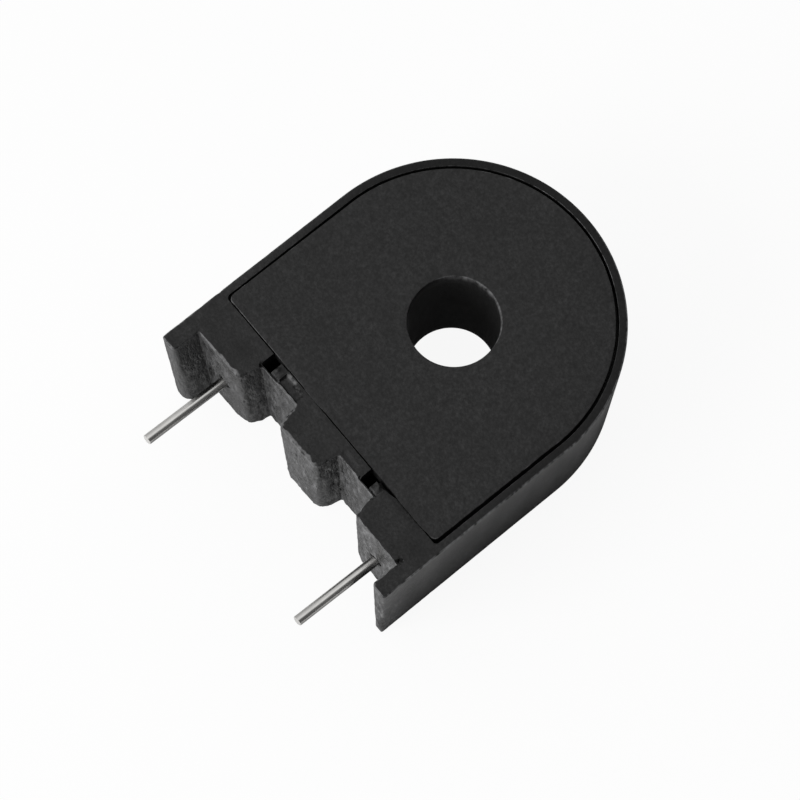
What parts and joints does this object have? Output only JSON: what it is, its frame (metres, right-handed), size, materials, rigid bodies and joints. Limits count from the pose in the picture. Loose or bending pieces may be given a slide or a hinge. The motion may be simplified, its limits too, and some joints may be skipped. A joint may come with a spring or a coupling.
{
  "type": "current transformer",
  "caption": "Small current transformer for a circuit board: D-shaped black housing with a flush cover, a round through bore, two short legs and two straight terminal pins.",
  "frame": {"origin": "centre of the bore at the back face", "axes": "+Z along the bore axis, out of the cover face; the terminal pins point along -Y; X runs across the body"},
  "size_m": [0.0218, 0.03, 0.0109],
  "materials": {
    "housing_plastic": "black glass-filled moulding, fine matte grain",
    "cover_plastic": "black glass-filled moulding, fine matte grain",
    "tinned_wire": "tinned, drawn along its length",
    "solder": "dull tin solder",
    "copper_wire": "enamelled copper, glossy",
    "core_strip": "thin rolled magnetic strip",
    "case_plastic": "natural moulded plastic",
    "film_tape": "thin amber film tape",
    "pressboard": "grey-brown pressed insulating board"
  },
  "bodies": {
    "root": {"housing": "housing_plastic", "front_cover": "cover_plastic", "core_ring": "core_strip", "core_case_cup": "case_plastic", "core_case_lid": "case_plastic", "secondary_winding": "copper_wire", "winding_tape": "film_tape", "lower_washer": "pressboard", "upper_washer": "pressboard", "terminal_pin_left": "tinned_wire", "terminal_pin_right": "tinned_wire", "solder_joint_left": "solder", "solder_joint_right": "solder"}
  },
  "joints": []
}
